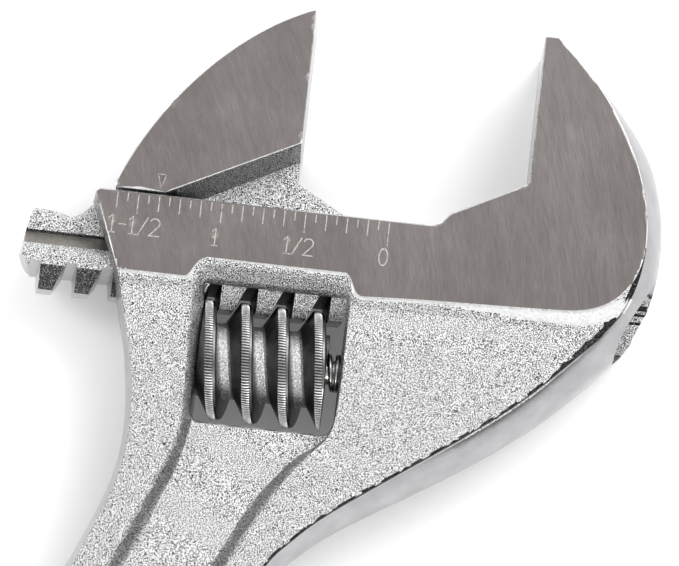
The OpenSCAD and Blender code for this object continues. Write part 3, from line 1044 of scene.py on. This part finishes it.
def choose_jaw(strokes):
    def choose(c, n):
        p = c[:, :2]
        up = np.abs(n[:, 2])
        kind = np.full(len(c), "forged", dtype=object)
        flat = (np.abs(c[:, 2]) > HALF - 0.3) & (up > 0.6)
        kind[flat] = "ground"
        from_edge = np.minimum(distance(p, PLATE), distance(p, STEP_HEAD, closed=False))
        # painted highlight along the plate's edge
        kind[flat & (from_edge < EDGE)] = "bright"
        # painted shade on the sloping step under the plate
        wall = inside(p, np.vstack([STEP_HEAD, STEP_FOOT[::-1]])) & (np.abs(c[:, 2]) > WEB_HALF + 0.25)
        kind[wall] = "wall"
        kind[marked(c, flat, strokes)] = "engraved"
        back = (distance(p, PLATE[4:-2], closed=False) < 0.8) & (up < 0.6) & (c[:, 1] > 1)
        kind[back] = "polished"
        kind[(np.abs(c[:, 0] - JAW_X) < 0.1) & (n[:, 0] > 0.8)] = "machined"
        below = c[:, 1] < ROOT_Y + 0.05
        flank = below & (up < 0.35) & (np.abs(n[:, 0]) > 0.4)
        floor = (np.abs(c[:, 1] - ROOT_Y) < 1.1) & (n[:, 1] < -0.6) & (np.abs(n[:, 2]) < 0.2)
        tips = (np.abs(c[:, 1] - TIP_FLAT) < 0.03) & (np.abs(n[:, 1]) > 0.9)
        # painted shade on the fronts of the teeth at the rail's outer end
        kind[(c[:, 1] < -12.0) & (c[:, 1] > TIP_FLAT) & (c[:, 0] < -58)] = "dark"
        # painted shade in the rail's groove
        kind[(c[:, 1] < -6.75) & (c[:, 1] > -8.9) & (np.abs(c[:, 2]) > 2.9)] = "groove"
        kind[(c[:, 1] < -6.45) & (c[:, 1] > -7.0) & (np.abs(c[:, 2]) > 2.9)] = "shade"
        kind[(c[:, 0] < RAIL_LEFT + 3.2) & (n[:, 0] < -0.3)] = "machined"
        kind[flank | floor | tips] = "machined"
        kind[(flank | floor) & (c[:, 0] > -58)] = "shade"
        return kind
    return choose


jaw, jaw_strokes = jaw_forging()
paint(jaw, {"ground": GROUND_STEEL, "forged": FORGED, "polished": POLISHED, "machined": MACHINED,
            "engraved": ENGRAVED, "dark": TOOTH_FRONT_PAINTED_SHADE, "wall": FORGED_PAINTED_SHADE, "groove": GROOVE_PAINTED_SHADE,
            "bright": EDGE_PAINTED_HIGHLIGHT, "shade": SHADE}, choose_jaw(jaw_strokes))
finish_mesh(jaw)
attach(jaw, "jaw")
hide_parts("movable_jaw")

# ---------------------------------------------------------------- worm, pin and spring

RIBS = 128
RIB_DEPTH = 0.3
# Depth of the pocket for the spring in the worm's right end
POCKET = 5.2
# Edges of the knurled band, from the crest's middle
BAND_LEFT = -0.82
BAND_RIGHT = 0.4


def worm_profile():
    """Thread profile over one pitch: (distance from the crest's middle, radius, share of knurl)."""
    half = CREST_W / 2
    steep_w = (WORM_R - WORM_ROOT_R) * STEEP
    slant_w = (WORM_R - WORM_ROOT_R) * SLANT
    a0, a1 = half + steep_w, PITCH - half - slant_w
    middle = (BAND_LEFT + BAND_RIGHT) / 2
    right = [(BAND_LEFT, WORM_R - 0.12, 0.0), (BAND_LEFT + 0.1, WORM_R, 1.0), (middle, WORM_R + 0.02, 1.0),
             (BAND_RIGHT - 0.1, WORM_R, 1.0), (BAND_RIGHT, WORM_R - 0.12, 0.0),
             (half - 0.2, WORM_R - 0.2, 0), (half, WORM_R - 0.6, 0)]
    root = [(a0 - 0.02, WORM_ROOT_R + 0.25, 0), (a0 + 0.22, WORM_ROOT_R, 0), ((a0 + a1) / 2, WORM_ROOT_R, 0),
            (a1 - 0.25, WORM_ROOT_R, 0), (a1 + 0.1, WORM_ROOT_R + 0.25, 0)]
    left = [(PITCH - half - 0.1, WORM_R - 0.5, 0), (PITCH - half + 0.02, WORM_R - 0.26, 0)]
    return right + root + left


def worm_screw():
    profile = worm_profile()
    n = len(profile)
    per_rib = 6
    turn = RIBS * per_rib
    first = math.floor((WORM_X - CREST_X) / PITCH) - 2
    last = math.ceil((WORM_X + WORM_L - CREST_X) / PITCH) + 1
    rows = [(k * PITCH + a, r, w) for k in range(first, last) for a, r, w in profile]
    rib = np.array([0.0, 0.55, 1.0, 1.0, 0.55, 0.0])
    verts, faces = [], []
    for i in range(turn):
        phase = 2 * math.pi * i / turn
        for a, r, w in rows:
            q = r - w * RIB_DEPTH * (1 - rib[i % per_rib])
            verts.append((CREST_X + a + PITCH * i / turn, WORM_Y + q * math.cos(phase), q * math.sin(phase)))
    m = len(rows)
    for i in range(turn):
        for j in range(m - 1):
            if i < turn - 1:
                faces.append((i * m + j, i * m + j + 1, (i + 1) * m + j + 1, (i + 1) * m + j))
            elif j + n + 1 < m:
                faces.append((i * m + j, i * m + j + 1, j + n + 1, j + n))
    me = bpy.data.meshes.new("worm_screw")
    me.from_pydata(verts, [], faces)
    bm = bmesh.new()
    bm.from_mesh(me)
    for x, side in ((WORM_X, -1), (WORM_X + WORM_L, 1)):
        bmesh.ops.bisect_plane(bm, geom=bm.verts[:] + bm.edges[:] + bm.faces[:], plane_co=(x, 0, 0),
                               plane_no=(side, 0, 0), clear_outer=True, dist=1e-5)
        cut = [e for e in bm.edges if e.is_boundary and abs(e.verts[0].co.x - x) < 1e-3
               and abs(e.verts[1].co.x - x) < 1e-3]
        bmesh.ops.holes_fill(bm, edges=cut)
    bmesh.ops.triangulate(bm, faces=[f for f in bm.faces if len(f.verts) > 4])
    bmesh.ops.recalc_face_normals(bm, faces=bm.faces)
    bm.to_mesh(me)
    bm.free()
    o = thing("worm_screw", me)
    right = WORM_X + WORM_L
    boolean(o, thing("worm_bore", turned("worm_bore", [
        (WORM_X - 1, 2.05), (right - POCKET, 2.05), (right - POCKET, 3.25), (right + 1, 3.25)], WORM_Y, 48)))
    return o


def choose_worm(c, n):
    r = np.hypot(c[:, 1] - WORM_Y, c[:, 2])
    # all but crest and root, the knurl's valleys and rims too, get the flank's painted shade
    kind = np.full(len(c), "flank", dtype=object)
    kind[r > WORM_R - 0.14] = "crest"
    kind[(r < WORM_ROOT_R + 0.2) & (np.abs(n[:, 0]) < 0.9)] = "root"
    return kind


worm = worm_screw()
paint(worm, {"crest": WORM_CREST, "root": WORM_ROOT, "flank": WORM_FLANK_PAINTED_SHADE}, choose_worm)
finish_mesh(worm, 32)
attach(worm, "knurl")
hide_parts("worm")

PIN_R = 2.0
pin = thing("pin", turned("pin", [
    (-56.9, 0.02), (-56.9, 2.5), (-56.5, 2.95), (-50.9, 2.95), (-50.7, 2.75), (-50.7, PIN_R), (-19.9, PIN_R),
    (-19.5, 1.6), (-19.5, 0.02)], WORM_Y, 48))
boolean(pin, thing("driver_slot", prism("driver_slot", [
    (-58, WORM_Y - 4), (-55.8, WORM_Y - 4), (-55.8, WORM_Y + 4), (-58, WORM_Y + 4)], -0.5, 0.5)))
paint(pin, {"pin": WIRE}, lambda c, n: ["pin"] * len(c))
finish_mesh(pin)
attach(pin, "handle")
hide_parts("worm_pin")

WIRE_R = 0.42
COIL_R = 2.6
TURNS = 4.5
STEPS_PER_TURN = 48
# Steps of the flat turns at each of the spring's ends
FLAT_STEPS = 40


def coil_spring():
    x0 = WORM_X + WORM_L - POCKET + WIRE_R + 0.05
    x1 = WINDOW_RIGHT - WIRE_R - 0.05
    steps = int(STEPS_PER_TURN * TURNS)
    rings = []
    for i in range(steps + 1):
        a = 2 * math.pi * i / STEPS_PER_TURN
        x = x0 + (x1 - x0) * min(1.0, max(0.0, (i - FLAT_STEPS) / (steps - 2 * FLAT_STEPS)))
        rings.append([(x + WIRE_R * math.sin(b), WORM_Y + (COIL_R + WIRE_R * math.cos(b)) * math.cos(a),
                       (COIL_R + WIRE_R * math.cos(b)) * math.sin(a))
                      for b in (2 * math.pi * j / 12 for j in range(12))])
    return thing("coil_spring", loft("coil_spring", rings))


spring = coil_spring()
paint(spring, {"wire": WIRE}, lambda c, n: ["wire"] * len(c))
finish_mesh(spring, 60)
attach(spring, "handle")
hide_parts("worm_spring")

# ---------------------------------------------------------------- floor, light and camera

PAPER = (0.93, 0.93, 0.93, 1)

def floor():
    half = 6.0
    corners = [(-half, -half, 0), (half, -half, 0), (half, half, 0), (-half, half, 0)]
    me = bpy.data.meshes.new("floor")
    me.from_pydata(corners, [], [(0, 1, 2, 3)])
    o = thing("floor", me)
    o.location.z = cad_box[0].z - 0.0002

    def paper(g):
        g.out(PAPER, g.remap(g.noise(30, 2, 0.5), 0.3, 0.7, 0.75, 0.85), metallic=0.0)
        # lit from below like a light table, so that shadows stay faint
        g.shader.inputs["Emission Color"].default_value = (1, 1, 1, 1)
        g.shader.inputs["Emission Strength"].default_value = 0.12
    me.materials.append(material("floor_paper", paper))


def softbox(name, where, towards, size, power):
    light = bpy.data.lights.new(name, "AREA")
    light.shape = "RECTANGLE"
    light.size, light.size_y = size
    light.energy = power
    o = bpy.data.objects.new(name, light)
    bpy.context.scene.collection.objects.link(o)
    o.location = where
    o.rotation_mode = "QUATERNION"
    o.rotation_quaternion = (Vector(towards) - Vector(where)).to_track_quat("-Z", "Y")
    o.visible_camera = False


# Brightness of the studio dome by the sine of the height above the horizon: a wide bright ring overhead,
# a dimmer patch straight above and a dark horizon
DOME = [(0.0, 0.05), (0.3, 0.09), (0.5, 0.25), (0.7, 0.75), (0.84, 1.1), (0.94, 0.9), (0.985, 0.5),
        (1.0, 0.42)]


def world():
    w = bpy.data.worlds.new("studio")
    bpy.context.scene.world = w
    w.use_nodes = True
    g = Graph(w.node_tree.nodes, w.node_tree.links, None)
    split = g.add("ShaderNodeSeparateXYZ")
    g.put(split.inputs[0], g.add("ShaderNodeTexCoord").outputs["Generated"])
    sky = g.ramp(split.outputs["Z"], DOME)
    # seen directly, the backdrop is as pale as the floor
    seen = g.add("ShaderNodeLightPath").outputs["Is Camera Ray"]
    g.put(w.node_tree.nodes["Background"].inputs["Color"], g.mix(seen, sky, PAPER))


def camera():
    """Looks almost squarely down on the head, tilted 7.4 degrees from the handle's side."""
    tilt, roll, distance_mm, lens = math.radians(7.41), math.radians(6.53), 708.6, 246.0
    aim = HEAD @ Vector((-26.93, -9.09, 0.0))
    data = bpy.data.cameras.new("camera")
    data.lens = lens
    data.sensor_width = 36.0
    data.clip_start, data.clip_end = 0.05, 50.0
    o = bpy.data.objects.new("camera", data)
    bpy.context.scene.collection.objects.link(o)
    turn = HEAD.to_3x3().normalized()
    right = turn @ Vector((math.cos(roll), math.sin(roll), 0.0)).normalized()
    away = turn @ Vector((-math.sin(roll), math.cos(roll), 0))
    ahead = Vector((0, 0, -1)) * math.cos(tilt) + away * math.sin(tilt)
    ahead.normalize()
    up = right.cross(ahead).normalized()
    right = ahead.cross(up)
    o.matrix_world = Matrix.Translation(aim - ahead * distance_mm * MM) @ Matrix((
        (right.x, up.x, -ahead.x), (right.y, up.y, -ahead.y), (right.z, up.z, -ahead.z))).to_4x4()
    bpy.context.scene.camera = o


floor()
world()
target = row(-25, 0)
softbox("key", row(600, 900, 1000), target, (0.9, 0.9), 16.0)
softbox("left_strip", row(-900, 250, 800), target, (0.3, 1.0), 4.0)
softbox("low_fill", row(250, -900, 800), target, (1.0, 0.3), 5.0)
camera()
bpy.context.scene.view_settings.view_transform = "Standard"
